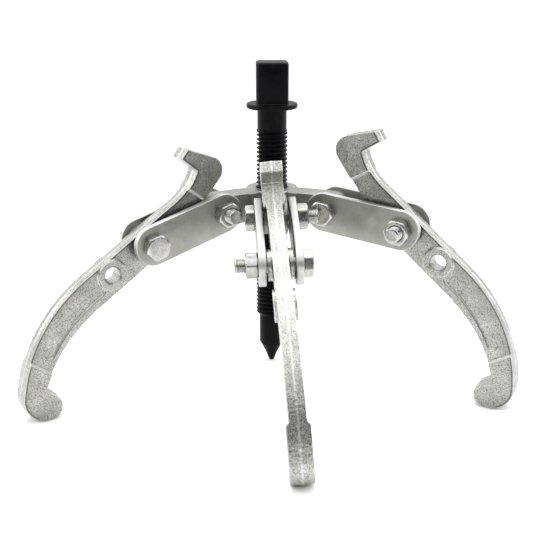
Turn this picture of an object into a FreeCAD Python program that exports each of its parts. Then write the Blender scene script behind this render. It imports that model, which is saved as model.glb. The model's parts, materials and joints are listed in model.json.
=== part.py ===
import FreeCAD, Part

import math
import os

import Sketcher
from FreeCAD import Placement, Rotation, Vector

# Reversible three-jaw gear puller, in millimetres.
# The origin is the flat tip of the screw's centre point, +Z runs up the screw's axis, and the front arm
# reaches towards -Y. The puller stands on that tip and on the rounded backs of its three lower hooks.

# ---------------------------------------------------------------- driving sizes

SIZES = {
    # forcing screw, M18 x 2.5, square drive
    "screw_radius": 9.0,
    "thread_pitch": 2.5,
    "thread_depth": 1.45,
    "thread_crest": 0.32,
    "thread_start": 30.0,
    "thread_end": 143.0,
    "nose_radius": 7.3,
    "neck_radius": 8.4,
    "collar_radius": 14.6,
    "collar_bottom": 154.0,
    "collar_top": 157.0,
    "collar_edge": 0.7,
    "drive_flats": 18.4,
    "screw_top": 180.0,
    "drive_edge": 1.2,
    # loose centre point in the end of the screw
    "point_tip_radius": 1.4,
    "point_base_radius": 6.6,
    "point_height": 11.6,
    "stem_radius": 3.0,
    "stem_length": 14.0,
    "bearing_gap": 0.3,
    "running_fit": 0.05,
    "stem_end_gap": 1.0,
    # crosshead
    "pivot_height": 100.0,
    "pivot_circle": 38.0,
    "hub_radius": 14.8,
    "hub_height": 17.0,
    "lug_height": 16.6,
    "lug_thickness": 13.6,
    "lug_root": 12.0,
    "lug_nose_radius": 9.0,
    # link plates
    "link_length": 45.0,
    "plate_width": 22.0,
    "plate_thickness": 4.0,
    "plate_edge": 0.5,
    "side_gap": 0.65,
    # M8 bolts and nuts
    "bolt_radius": 4.0,
    "bolt_length": 35.0,
    "bolt_end_edge": 0.7,
    "plate_hole_radius": 4.1,
    "hinge_bore_radius": 4.4,
    "hex_flats": 13.0,
    "head_height": 5.3,
    "nut_height": 6.5,
    "nut_bore_radius": 4.05,
    "hex_crown": 0.94,
    # jaw, seen from its side: the shank runs along x, its outer edge faces +y
    "web_thickness": 8.4,
    "hook_thickness": 11.6,
    "boss_radius": 8.3,
    "spare_boss_thickness": 11.4,
    "spare_hole_distance": 26.5,
    "shank_outer": 8.3,
    "shank_inner": 10.2,
    "outer_sweep": 84.0,
    "outer_sweep_start": 39.7,
    "outer_sweep_turn": 49.4,
    "inner_sweep": 80.0,
    "inner_sweep_start": 44.1,
    "hook_back_radius": 13.0,
    "hook_back_end": 67.7,
    "hook_nose_radius": 7.0,
    "grip_angle": 67.0,
    "lower_step_outer": 35.4,
    "lower_step_inner": 29.5,
    "upper_bend_radius": 33.0,
    "upper_bend_start": 25.0,
    "upper_bend_turn": 36.3,
    "upper_grip_length": 12.0,
    "upper_grip_angle": 70.5,
    "upper_tip_width": 6.5,
    "upper_hook_taper": 18.5,
    "upper_back_start": 9.0,
    "upper_back_angle": 15.9,
    "upper_heel_radius": 8.0,
    "upper_step_outer": 16.0,
    "upper_step_inner": 38.7,
    "channel_radius": 80.2,
    "channel_centre_x": 42.0,
    "channel_centre_y": 83.2,
    "channel_width": 6.0,
    "channel_depth": 1.3,
    "channel_start": -3.6,
    "channel_end": 26.8,
    "step_bevel": 1.3,
    # the arms as they rest: each jaw's tilt from a common slope, and how far it and its link plates lean
    # sideways in the slack of their hinges
    "jaw_slope": 39.0,
    "front_jaw_tilt": 7.8,
    "front_link_lean": 1.8,
    "front_jaw_lean": 2.7,
    "left_jaw_tilt": 6.5,
    "left_link_lean": 0.0,
    "left_jaw_lean": 0.0,
    "right_jaw_tilt": -0.5,
    "right_link_lean": 0.0,
    "right_jaw_lean": 0.0,
}

# Sizes that follow from the ones above.
half_plates = SIZES["lug_thickness"] / 2 + SIZES["side_gap"]
SIZES["nose_bottom"] = SIZES["point_height"] + SIZES["bearing_gap"]
SIZES["stem_bore_radius"] = SIZES["stem_radius"] + SIZES["running_fit"]
SIZES["stem_top"] = SIZES["point_height"] + SIZES["stem_length"]
SIZES["stem_bore_top"] = SIZES["stem_top"] + SIZES["stem_end_gap"]
SIZES["thread_root_radius"] = SIZES["screw_radius"] - SIZES["thread_depth"]
SIZES["thread_runout"] = SIZES["thread_start"] + SIZES["screw_radius"] - SIZES["nose_radius"]
SIZES["collar_flat_radius"] = SIZES["collar_radius"] - SIZES["collar_edge"]
SIZES["collar_edge_bottom"] = SIZES["collar_bottom"] + SIZES["collar_edge"]
SIZES["collar_edge_top"] = SIZES["collar_top"] - SIZES["collar_edge"]
SIZES["screw_bore_radius"] = SIZES["screw_radius"] + SIZES["running_fit"]
SIZES["hub_bottom"] = SIZES["pivot_height"] - SIZES["lug_height"] / 2
SIZES["boss_thickness"] = SIZES["lug_thickness"]
SIZES["hex_corner_radius"] = SIZES["hex_flats"] / 2 / math.cos(math.pi / 6)
SIZES["drive_half"] = SIZES["drive_flats"] / 2

# The crosshead carries four lugs, so that it takes two jaws (front and back) or three. The three jaws
# are on neighbouring lugs, 60 degrees apart, and the back lug is empty.
ARMS = {"front": 0.0, "right": 60.0, "left": -60.0}
SPARE_LUG_AZIMUTH = 180.0

doc = FreeCAD.newDocument("gear_puller")
sheet = doc.addObject("Spreadsheet::Sheet", "Sizes")
for row, (name, value) in enumerate(SIZES.items(), start=1):
    sheet.set("A%d" % row, name)
    sheet.set("B%d" % row, str(value))
    sheet.setAlias("B%d" % row, name)
doc.recompute()

nodes = []


# ---------------------------------------------------------------- helpers


def bind(item, path, formula):
    """Bind a property to a formula over the sheet's cells."""
    item.setExpression(path, formula)


def cell(name):
    return "Sizes." + name


def new_body(name):
    body = doc.addObject("PartDesign::Body", name)
    body.Label = name
    return body


def origin_item(body, role):
    return next(item for item in body.Origin.OriginFeatures if item.Role == role)


def new_sketch(body, name, role="XY_Plane", lift=0.0):
    """A sketch on one of the body's own origin planes, lifted off it by a distance."""
    sketch = body.newObject("Sketcher::SketchObject", name)
    sketch.AttachmentSupport = [(origin_item(body, role), "")]
    sketch.MapMode = "FlatFace"
    sketch.AttachmentOffset = Placement(Vector(0, 0, lift), Rotation())
    return sketch


def bound(sketch, constraint, formula):
    """Add a dimension to a sketch and bind it to the sheet."""
    index = sketch.addConstraint(constraint)
    sketch.setExpression("Constraints[%d]" % index, formula)


def circle(sketch, radius_name, x_name=None):
    """A circle on the sketch's x axis, at the origin or at a named distance from it."""
    x = SIZES[x_name] if x_name else 0.0
    shape = Part.Circle(Vector(x, 0, 0), Vector(0, 0, 1), SIZES[radius_name])
    index = sketch.addGeometry(shape, False)
    bound(sketch, Sketcher.Constraint("Radius", index, SIZES[radius_name]), cell(radius_name))
    if x_name:
        sketch.addConstraint(Sketcher.Constraint("PointOnObject", index, 3, -1))
        bound(sketch, Sketcher.Constraint("DistanceX", -1, 1, index, 3, x), cell(x_name))
    else:
        sketch.addConstraint(Sketcher.Constraint("Coincident", index, 3, -1, 1))


def ring_profile(sketch, corners):
    """A closed polygon whose corners are pairs of cell names, or 0 for a corner on an axis."""
    points = [Vector(SIZES.get(x, 0.0), SIZES.get(y, 0.0), 0) for x, y in corners]
    count = len(points)
    for i in range(count):
        sketch.addGeometry(Part.LineSegment(points[i], points[(i + 1) % count]), False)
    for i in range(count):
        sketch.addConstraint(Sketcher.Constraint("Coincident", i, 2, (i + 1) % count, 1))
    for i, (x, y) in enumerate(corners):
        if x:
            bound(sketch, Sketcher.Constraint("DistanceX", -1, 1, i, 1, SIZES[x]), cell(x))
        else:
            sketch.addConstraint(Sketcher.Constraint("PointOnObject", i, 1, -2))
        if y:
            bound(sketch, Sketcher.Constraint("DistanceY", -1, 1, i, 1, SIZES[y]), cell(y))
        else:
            sketch.addConstraint(Sketcher.Constraint("PointOnObject", i, 1, -1))


def meeting_ends(first, second):
    """Which end of one curve (1 its start, 2 its end) meets which end of the next."""
    pairs = [
        (point.distanceToPoint(other), i, j)
        for i, point in ((1, first.StartPoint), (2, first.EndPoint))
        for j, other in ((1, second.StartPoint), (2, second.EndPoint))
    ]
    return min(pairs)[1:]


def outline(sketch, pieces, joint="Coincident"):
    """A closed outline of lines and arcs: each piece is (curve, name of its radius or None)."""
    drawn = []
    for curve, radius_name in pieces:
        index = sketch.addGeometry(curve, False)
        drawn.append((index, curve))
        if radius_name:
            radius = Sketcher.Constraint("Radius", index, SIZES[radius_name])
            bound(sketch, radius, cell(radius_name))
    for (index, curve), (following, next_curve) in zip(drawn, drawn[1:] + drawn[:1]):
        last, first = meeting_ends(curve, next_curve)
        sketch.addConstraint(Sketcher.Constraint(joint, index, last, following, first))


def feature(body, kind, name, sketch, **settings):
    item = body.newObject("PartDesign::" + kind, name)
    item.Profile = sketch
    for key, value in settings.items():
        setattr(item, key, value)
    return item


def pad(body, name, sketch, length_name, **settings):
    item = feature(body, "Pad", name, sketch, **settings)
    bind(item, "Length", cell(length_name))
    return item


def revolve(body, kind, name, sketch):
    """A full turn of a profile about the body's own Z axis, which is the sketch's vertical."""
    return feature(body, kind, name, sketch, ReferenceAxis=(sketch, ["V_Axis"]), Angle=360.0)


def check_cut(item):
    """Recompute, and stop if a cutting feature took nothing away."""
    doc.recompute()
    if item.Shape.Volume >= item.BaseFeature.Shape.Volume - 1e-3:
        raise RuntimeError("%s cuts nothing" % item.Name)


def edges_where(shape, test):
    return ["Edge%d" % i for i, edge in enumerate(shape.Edges, start=1) if test(edge)]


def rim(radius, height):
    """A test for the full circle of this radius at this height."""

    def test(edge):
        curve = edge.Curve
        if not isinstance(curve, Part.Circle):
            return False
        return abs(curve.Radius - radius) < 1e-4 and abs(curve.Center.z - height) < 1e-4

    return test


def bevel(body, name, test, size_name):
    """Chamfer the edges of the body's tip that pass the test."""
    doc.recompute()
    tip = body.Tip
    item = body.newObject("PartDesign::Chamfer", name)
    item.Base = (tip, edges_where(tip.Shape, test))
    bind(item, "Size", cell(size_name))
    doc.recompute()


def polar(centre, radius, degrees):
    angle = math.radians(degrees)
    return centre + Vector(radius * math.cos(angle), radius * math.sin(angle), 0)


def arc(centre, radius, start, end):
    """The arc between two angles in degrees."""
    low, high = sorted((math.radians(start), math.radians(end)))
    return Part.ArcOfCircle(Part.Circle(centre, Vector(0, 0, 1), radius), low, high)


def bearing(point, centre):
    """The angle in degrees of a point seen from a centre."""
    return math.degrees(math.atan2(point.y - centre.y, point.x - centre.x))


def crossing(point, degrees, other_point, other_degrees):
    """Where a line through one point crosses a line through another."""
    along = polar(Vector(), 1, degrees)
    other = polar(Vector(), 1, other_degrees)
    between = other_point - point
    turn = along.x * other.y - along.y * other.x
    return point + along * ((between.x * other.y - between.y * other.x) / turn)


def circle_hit(point, degrees, centre, radius):
    """The first point ahead on a line, in one direction, that lies on a circle."""
    along = polar(Vector(), 1, degrees)
    offset = point - centre
    middle = offset.dot(along)
    reach = math.sqrt(middle**2 - offset.dot(offset) + radius**2)
    return point + along * min(d for d in (-middle - reach, -middle + reach) if d > 0)


def arm_frame(azimuth):
    """An arm's axes: x outward, y up, z along the hinge pins."""
    turn = math.radians(azimuth)
    outward = Vector(math.sin(turn), -math.cos(turn), 0)
    up = Vector(0, 0, 1)
    return Rotation(outward, up, outward.cross(up), "XYZ")


def arm_place(azimuth, radius, height, tilt, along_pin=0.0, flipped=False):
    """Place a piece on an arm: turned up by tilt about the pins, and moved along them."""
    frame = arm_frame(azimuth)
    turn = Rotation(Vector(0, 0, 1), tilt)
    flip = Rotation(Vector(1, 0, 0), 180.0 if flipped else 0.0)
    axis_point = Vector(0, 0, height) + frame.multVec(Vector(radius, 0, along_pin))
    return Placement(axis_point, frame * turn * flip)


# ---------------------------------------------------------------- the screw and its point


def make_forcing_screw():
    """Square head, round collar, smooth neck, V thread and a bored plain nose."""
    body = new_body("forcing_screw")
    blank = new_sketch(body, "screw_profile", "XZ_Plane")
    ring_profile(
        blank,
        [
            ("stem_bore_radius", "nose_bottom"),
            ("nose_radius", "nose_bottom"),
            ("nose_radius", "thread_start"),
            ("screw_radius", "thread_runout"),
            ("screw_radius", "thread_end"),
            ("neck_radius", "thread_end"),
            ("neck_radius", "collar_bottom"),
            ("collar_flat_radius", "collar_bottom"),
            ("collar_radius", "collar_edge_bottom"),
            ("collar_radius", "collar_edge_top"),
            ("collar_flat_radius", "collar_top"),
            (0, "collar_top"),
            (0, "stem_bore_top"),
            ("stem_bore_radius", "stem_bore_top"),
        ],
    )
    revolve(body, "Revolution", "screw_blank", blank)

    square = new_sketch(body, "drive_square", lift=SIZES["collar_top"])
    half = SIZES["drive_half"]
    corners = [Vector(half, half), Vector(-half, half), Vector(-half, -half), Vector(half, -half)]
    sides = [Part.LineSegment(a, b) for a, b in zip(corners, corners[1:] + corners[:1])]
    outline(square, [(side, None) for side in sides])
    for side, kind in ((0, "Horizontal"), (1, "Vertical"), (2, "Horizontal"), (3, "Vertical")):
        square.addConstraint(Sketcher.Constraint(kind, side))
    bound(square, Sketcher.Constraint("DistanceX", -1, 1, 0, 1, half), cell("drive_half"))
    bound(square, Sketcher.Constraint("DistanceY", -1, 1, 0, 1, half), cell("drive_half"))
    bound(square, Sketcher.Constraint("DistanceX", 1, 2, -1, 1, half), cell("drive_half"))
    bound(square, Sketcher.Constraint("DistanceY", 2, 2, -1, 1, half), cell("drive_half"))
    head = feature(body, "Pad", "drive_head", square)
    bind(head, "Length", "Sizes.screw_top - Sizes.collar_top")

    def drive_corner(edge):
        return abs(edge.BoundBox.ZMin - SIZES["screw_top"]) < 1e-4

    bevel(body, "drive_bevel", drive_corner, "drive_edge")

    # One V with a flat root, cut as a ring and repeated at the pitch along the threaded length.
    flank = SIZES["thread_depth"] * math.tan(math.radians(30))
    half_mouth = (SIZES["thread_pitch"] - SIZES["thread_crest"]) / 2
    middle = SIZES["thread_runout"] + half_mouth
    deep, crest = SIZES["thread_root_radius"], SIZES["screw_radius"]
    corners = [
        Vector(crest, middle - half_mouth),
        Vector(crest + 1.0, middle - half_mouth),
        Vector(crest + 1.0, middle + half_mouth),
        Vector(crest, middle + half_mouth),
        Vector(deep, middle + half_mouth - flank),
        Vector(deep, middle - half_mouth + flank),
    ]
    groove_sketch = new_sketch(body, "thread_profile", "XZ_Plane")
    sides = [Part.LineSegment(a, b) for a, b in zip(corners, corners[1:] + corners[:1])]
    outline(groove_sketch, [(side, None) for side in sides])
    groove = revolve(body, "Groove", "thread_ring", groove_sketch)
    check_cut(groove)
    turns = int((SIZES["thread_end"] - SIZES["thread_runout"]) / SIZES["thread_pitch"])
    thread = body.newObject("PartDesign::LinearPattern", "thread")
    thread.Originals = [groove]
    thread.Direction = (origin_item(body, "Z_Axis"), [""])
    thread.Occurrences = turns
    bind(thread, "Length", "Sizes.thread_pitch * %d" % (turns - 1))
    body.Tip = thread
    nodes.append(body)


def make_centre_point():
    """Blunt cone with a stem that turns in the screw's nose."""
    body = new_body("centre_point")
    profile = new_sketch(body, "point_profile", "XZ_Plane")
    ring_profile(
        profile,
        [
            (0, 0),
            ("point_tip_radius", 0),
            ("point_base_radius", "point_height"),
            ("stem_radius", "point_height"),
            ("stem_radius", "stem_top"),
            (0, "stem_top"),
        ],
    )
    revolve(body, "Revolution", "point_turning", profile)
    nodes.append(body)


# ---------------------------------------------------------------- the crosshead


def lug_sketch(body, name, azimuth):
    """A sketch on the upright plane of a lug: x outward from the screw's axis, y up."""
    sketch = new_sketch(body, name, "XZ_Plane")
    sketch.AttachmentOffset = Placement(Vector(), Rotation(Vector(0, 1, 0), azimuth - 90))
    return sketch


def make_lug(body, name, azimuth):
    """A lug that tapers a little from the hub to its round nose."""
    s = SIZES
    root = Vector(s["lug_root"], s["pivot_height"] + s["lug_height"] / 2, 0)
    nose = Vector(s["pivot_circle"], s["pivot_height"], 0)
    away = nose - root
    slope = bearing(nose, root) + math.degrees(math.asin(s["lug_nose_radius"] / away.Length))
    upper_end = polar(nose, s["lug_nose_radius"], 90 + slope)
    lower_end = polar(nose, s["lug_nose_radius"], -90 - slope)
    low_root = Vector(root.x, 2 * nose.y - root.y, 0)
    start, low_start = Vector(0, root.y, 0), Vector(0, low_root.y, 0)
    sketch = lug_sketch(body, name + "_outline", azimuth)
    outline(
        sketch,
        [
            (Part.LineSegment(start, root), None),
            (Part.LineSegment(root, upper_end), None),
            (arc(nose, s["lug_nose_radius"], 90 + slope, -90 - slope), "lug_nose_radius"),
            (Part.LineSegment(lower_end, low_root), None),
            (Part.LineSegment(low_root, low_start), None),
            (Part.LineSegment(low_start, start), None),
        ],
    )
    pad(body, name, sketch, "lug_thickness", SideType="Symmetric")


def make_crosshead():
    """A round hub with four lugs, bored for the screw and cross-bored for the hinge bolts."""
    body = new_body("crosshead")
    hub = new_sketch(body, "hub_circle", lift=SIZES["hub_bottom"])
    circle(hub, "hub_radius")
    pad(body, "hub", hub, "hub_height")
    lugs = dict(ARMS, spare=SPARE_LUG_AZIMUTH)
    for arm, azimuth in lugs.items():
        make_lug(body, arm + "_lug", azimuth)
    for arm, azimuth in lugs.items():
        sketch = lug_sketch(body, arm + "_lug_bore_circle", azimuth)
        x, y = SIZES["pivot_circle"], SIZES["pivot_height"]
        bore_radius = SIZES["hinge_bore_radius"]
        index = sketch.addGeometry(Part.Circle(Vector(x, y), Vector(0, 0, 1), bore_radius))
        bound(sketch, Sketcher.Constraint("Radius", index, bore_radius), cell("hinge_bore_radius"))
        bound(sketch, Sketcher.Constraint("DistanceX", -1, 1, index, 3, x), cell("pivot_circle"))
        bound(sketch, Sketcher.Constraint("DistanceY", -1, 1, index, 3, y), cell("pivot_height"))
        drilled = feature(body, "Pocket", arm + "_lug_bore", sketch, SideType="Symmetric")
        bind(drilled, "Length", "Sizes.lug_thickness * 1.5")
        check_cut(drilled)
    bore = new_sketch(body, "screw_bore_circle")
    circle(bore, "screw_bore_radius")
    check_cut(feature(body, "Pocket", "screw_bore", bore, Type="ThroughAll", Reversed=True))
    nodes.append(body)


# ---------------------------------------------------------------- link plates, bolts and nuts


def make_link_plate(name, placement):
    """A flat bar with round ends and a bolt hole at each end."""
    body = new_body(name)
    radius = SIZES["plate_width"] / 2
    length = SIZES["link_length"]
    near, far = Vector(0, 0, 0), Vector(length, 0, 0)
    bar = new_sketch(body, name + "_outline")
    outline(
        bar,
        [
            (Part.LineSegment(Vector(0, -radius), Vector(length, -radius)), None),
            (arc(far, radius, -90, 90), None),
            (Part.LineSegment(Vector(length, radius), Vector(0, radius)), None),
            (arc(near, radius, 90, 270), None),
        ],
        joint="Tangent",
    )
    bar.addConstraint(Sketcher.Constraint("Coincident", 3, 3, -1, 1))
    bar.addConstraint(Sketcher.Constraint("PointOnObject", 1, 3, -1))
    bar.addConstraint(Sketcher.Constraint("Equal", 1, 3))
    bound(bar, Sketcher.Constraint("Radius", 3, radius), "Sizes.plate_width / 2")
    bound(bar, Sketcher.Constraint("DistanceX", -1, 1, 1, 3, length), cell("link_length"))
    pad(body, name + "_bar", bar, "plate_thickness", SideType="Symmetric")
    holes = new_sketch(body, name + "_hole_circles")
    circle(holes, "plate_hole_radius")
    circle(holes, "plate_hole_radius", "link_length")
    drilled = feature(body, "Pocket", name + "_holes", holes, SideType="Symmetric", Type="ThroughAll")
    check_cut(drilled)
    half = SIZES["plate_thickness"] / 2

    def rounded_rim(edge):
        box = edge.BoundBox
        on_face = box.ZLength < 1e-4 and abs(abs(box.ZMin) - half) < 1e-4
        return on_face and max(box.XLength, box.YLength) > 2 * SIZES["plate_hole_radius"] + 1.0

    bevel(body, name + "_bevel", rounded_rim, "plate_edge")
    body.Placement = placement
    nodes.append(body)


def hex_block(body, name, height_name, reverse=False):
    """A hexagonal block on the body's axis, a corner on the x axis."""
    sketch = new_sketch(body, name + "_hexagon")
    radius = SIZES["hex_corner_radius"]
    corners = [polar(Vector(), radius, 60 * i) for i in range(6)]
    sides = [Part.LineSegment(a, b) for a, b in zip(corners, corners[1:] + corners[:1])]
    outline(sketch, [(side, None) for side in sides])
    guide = sketch.addGeometry(Part.Circle(Vector(), Vector(0, 0, 1), radius), True)
    sketch.addConstraint(Sketcher.Constraint("Coincident", guide, 3, -1, 1))
    bound(sketch, Sketcher.Constraint("Radius", guide, radius), cell("hex_corner_radius"))
    for i in range(6):
        sketch.addConstraint(Sketcher.Constraint("PointOnObject", i, 1, guide))
    for i in range(1, 6):
        sketch.addConstraint(Sketcher.Constraint("Equal", 0, i))
    sketch.addConstraint(Sketcher.Constraint("PointOnObject", 0, 1, -1))
    return pad(body, name + "_block", sketch, height_name, Reversed=reverse)


def crown(body, name, level, rising):
    """Turn the corners of a hexagonal face off to 30 degrees, at a level of the axis."""
    flat_radius = SIZES["hex_flats"] / 2 * SIZES["hex_crown"]
    out = SIZES["hex_corner_radius"] + 1.0
    drop = (out - flat_radius) * math.tan(math.radians(30))
    inside = level - drop if rising else level + drop
    beyond = level + 1.0 if rising else level - 1.0
    corners = [
        Vector(flat_radius, level),
        Vector(out, inside),
        Vector(out, beyond),
        Vector(flat_radius, beyond),
    ]
    sketch = new_sketch(body, name + "_profile", "XZ_Plane")
    sides = [Part.LineSegment(a, b) for a, b in zip(corners, corners[1:] + corners[:1])]
    outline(sketch, [(side, None) for side in sides])
    check_cut(revolve(body, "Groove", name, sketch))


def make_bolt(name, placement):
    """An M8 hexagon bolt: the head below the origin, the shank up the axis."""
    body = new_body(name)
    hex_block(body, name + "_head", "head_height", reverse=True)
    crown(body, name + "_crown", -SIZES["head_height"], rising=False)
    shank = new_sketch(body, name + "_shank_circle")
    circle(shank, "bolt_radius")
    pad(body, name + "_shank", shank, "bolt_length")
    bevel(body, name + "_end", rim(SIZES["bolt_radius"], SIZES["bolt_length"]), "bolt_end_edge")
    body.Placement = placement
    nodes.append(body)


def make_nut(name, placement):
    """An M8 hexagon nut standing on the origin."""
    body = new_body(name)
    hex_block(body, name, "nut_height")
    crown(body, name + "_lower_crown", 0.0, rising=False)
    crown(body, name + "_upper_crown", SIZES["nut_height"], rising=True)
    bore = new_sketch(body, name + "_bore_circle")
    circle(bore, "nut_bore_radius")
    drilled = feature(body, "Pocket", name + "_bore", bore, Type="ThroughAll", Reversed=True)
    check_cut(drilled)
    body.Placement = placement
    nodes.append(body)


# ---------------------------------------------------------------- the jaw


def jaw_points():
    """The centres and corners of the jaw's outline, worked out from its sizes."""
    s = SIZES
    outer_centre = Vector(s["outer_sweep_start"], s["shank_outer"] - s["outer_sweep"], 0)
    inner_centre = Vector(s["inner_sweep_start"], -s["shank_inner"] - s["inner_sweep"], 0)
    back_angle = 90 - s["outer_sweep_turn"]
    back_centre = polar(outer_centre, s["outer_sweep"] - s["hook_back_radius"], back_angle)
    nose_centre = polar(
        back_centre, s["hook_back_radius"] - s["hook_nose_radius"], -s["hook_back_end"]
    )
    grip_start = polar(nose_centre, s["hook_nose_radius"], s["grip_angle"] + 90)
    grip_root = circle_hit(grip_start, s["grip_angle"], inner_centre, s["inner_sweep"])

    bend_centre = Vector(-s["upper_bend_start"], s["shank_outer"] + s["upper_bend_radius"], 0)
    upper_root = polar(bend_centre, s["upper_bend_radius"], 270 - s["upper_bend_turn"])
    tip_inner = polar(upper_root, s["upper_grip_length"], s["upper_grip_angle"])
    tip_outer = polar(tip_inner, s["upper_tip_width"], s["upper_grip_angle"] + 90)
    top_angle = s["upper_grip_angle"] - s["upper_hook_taper"] + 180
    back_start = Vector(-s["upper_back_start"], -s["shank_inner"], 0)
    back_slope = 180 - s["upper_back_angle"]
    heel = crossing(tip_outer, top_angle, back_start, back_slope)
    half_turn = math.radians(top_angle - back_slope) / 2
    heel_cut = s["upper_heel_radius"] / math.tan(half_turn)
    heel_top = polar(heel, heel_cut, top_angle - 180)
    heel_back = polar(heel, heel_cut, back_slope - 180)
    heel_centre = polar(heel_top, s["upper_heel_radius"], top_angle + 90)

    step_along = (s["upper_step_inner"] - s["upper_back_start"]) / math.cos(
        math.radians(s["upper_back_angle"])
    )
    return {
        "outer_centre": outer_centre,
        "inner_centre": inner_centre,
        "back_centre": back_centre,
        "back_angle": back_angle,
        "nose_centre": nose_centre,
        "grip_start": grip_start,
        "grip_root": grip_root,
        "bend_centre": bend_centre,
        "upper_root": upper_root,
        "tip_inner": tip_inner,
        "tip_outer": tip_outer,
        "back_start": back_start,
        "heel_top": heel_top,
        "heel_back": heel_back,
        "heel_centre": heel_centre,
        "upper_step_inner": polar(back_start, step_along, back_slope),
        "upper_step_outer": polar(
            bend_centre, s["upper_bend_radius"], 270 - s["upper_step_outer"]
        ),
        "lower_step_outer": polar(outer_centre, s["outer_sweep"], 90 - s["lower_step_outer"]),
        "lower_step_inner": polar(inner_centre, s["inner_sweep"], 90 - s["lower_step_inner"]),
    }


def lower_hook_run(p, outer_from, inner_to):
    """The outline round the lower hook, from an angle on the outer sweep to one on the inner."""
    s = SIZES
    grip_turn = s["grip_angle"] + 90
    root_angle = bearing(p["grip_root"], p["inner_centre"])
    return [
        (arc(p["outer_centre"], s["outer_sweep"], outer_from, p["back_angle"]), "outer_sweep"),
        (
            arc(p["back_centre"], s["hook_back_radius"], p["back_angle"], -s["hook_back_end"]),
            "hook_back_radius",
        ),
        (
            arc(p["nose_centre"], s["hook_nose_radius"], -s["hook_back_end"], grip_turn - 360),
            "hook_nose_radius",
        ),
        (Part.LineSegment(p["grip_start"], p["grip_root"]), None),
        (arc(p["inner_centre"], s["inner_sweep"], root_angle, inner_to), "inner_sweep"),
    ]


def upper_hook_run(p, outer_from):
    """The outline round the upper hook, from the heel to an angle on the upper bend."""
    s = SIZES
    heel_start = bearing(p["heel_back"], p["heel_centre"])
    heel_end = bearing(p["heel_top"], p["heel_centre"])
    while heel_end > heel_start:
        heel_end -= 360
    bend_end = 270 - s["upper_bend_turn"]
    return [
        (
            arc(p["heel_centre"], s["upper_heel_radius"], heel_start, heel_end),
            "upper_heel_radius",
        ),
        (Part.LineSegment(p["heel_top"], p["tip_outer"]), None),
        (Part.LineSegment(p["tip_outer"], p["tip_inner"]), None),
        (Part.LineSegment(p["tip_inner"], p["upper_root"]), None),
        (
            arc(p["bend_centre"], s["upper_bend_radius"], bend_end, outer_from),
            "upper_bend_radius",
        ),
    ]


def make_jaw(name, placement):
    """A forged jaw: a thin curved shank, thick hooks at both ends and two drilled bosses."""
    s = SIZES
    p = jaw_points()
    body = new_body(name)

    web = new_sketch(body, name + "_web_outline")
    bend_top = Vector(-s["upper_bend_start"], s["shank_outer"], 0)
    sweep_top = Vector(s["outer_sweep_start"], s["shank_outer"], 0)
    sweep_bottom = Vector(s["inner_sweep_start"], -s["shank_inner"], 0)
    whole = upper_hook_run(p, 270)
    whole.append((Part.LineSegment(bend_top, sweep_top), None))
    whole += lower_hook_run(p, 90, 90)
    whole.append((Part.LineSegment(sweep_bottom, p["back_start"]), None))
    whole.append((Part.LineSegment(p["back_start"], p["heel_back"]), None))
    outline(web, whole)
    pad(body, name + "_web", web, "web_thickness", SideType="Symmetric")

    lower = new_sketch(body, name + "_lower_hook_outline")
    ring = lower_hook_run(p, 90 - s["lower_step_outer"], 90 - s["lower_step_inner"])
    ring.append((Part.LineSegment(p["lower_step_inner"], p["lower_step_outer"]), None))
    outline(lower, ring)
    pad(body, name + "_lower_hook", lower, "hook_thickness", SideType="Symmetric")

    upper = new_sketch(body, name + "_upper_hook_outline")
    ring = upper_hook_run(p, 270 - s["upper_step_outer"])
    ring.append((Part.LineSegment(p["upper_step_outer"], p["upper_step_inner"]), None))
    ring.append((Part.LineSegment(p["upper_step_inner"], p["heel_back"]), None))
    outline(upper, ring)
    pad(body, name + "_upper_hook", upper, "hook_thickness", SideType="Symmetric")

    hinge_boss = new_sketch(body, name + "_hinge_boss_circle")
    circle(hinge_boss, "boss_radius")
    pad(body, name + "_hinge_boss", hinge_boss, "boss_thickness", SideType="Symmetric")
    spare_boss = new_sketch(body, name + "_spare_boss_circle")
    circle(spare_boss, "boss_radius", "spare_hole_distance")
    pad(body, name + "_spare_boss", spare_boss, "spare_boss_thickness", SideType="Symmetric")

    half_hook = s["hook_thickness"] / 2
    steps = [
        (p["lower_step_inner"] + p["lower_step_outer"]) * 0.5,
        (p["upper_step_inner"] + p["upper_step_outer"]) * 0.5,
    ]

    def hook_step(edge):
        middle = edge.BoundBox.Center
        near = any(math.hypot(middle.x - q.x, middle.y - q.y) < 0.1 for q in steps)
        return near and abs(abs(middle.z) - half_hook) < 1e-4

    bevel(body, name + "_step_bevel", hook_step, "step_bevel")

    channel_centre = Vector(s["channel_centre_x"], -s["channel_centre_y"], 0)
    first, last = 90 - s["channel_start"], 90 - s["channel_end"]
    for side, level in (("near", 1), ("far", -1)):
        channel = new_sketch(
            body, "%s_%s_channel_outline" % (name, side), lift=level * s["web_thickness"] / 2
        )
        half_width = s["channel_width"] / 2
        top_end = polar(channel_centre, s["channel_radius"], first)
        low_end = polar(channel_centre, s["channel_radius"], last)
        outline(
            channel,
            [
                (arc(channel_centre, s["channel_radius"] + half_width, first, last), None),
                (arc(low_end, half_width, last, last - 180), None),
                (arc(channel_centre, s["channel_radius"] - half_width, last, first), None),
                (arc(top_end, half_width, first + 180, first), None),
            ],
        )
        pocket = feature(
            body, "Pocket", "%s_%s_channel" % (name, side), channel, Reversed=level < 0
        )
        bind(pocket, "Length", cell("channel_depth"))
        check_cut(pocket)

    holes = new_sketch(body, name + "_hole_circles")
    circle(holes, "hinge_bore_radius")
    circle(holes, "hinge_bore_radius", "spare_hole_distance")
    drilled = feature(body, "Pocket", name + "_holes", holes, SideType="Symmetric", Type="ThroughAll")
    check_cut(drilled)
    body.Placement = placement
    nodes.append(body)


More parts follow.
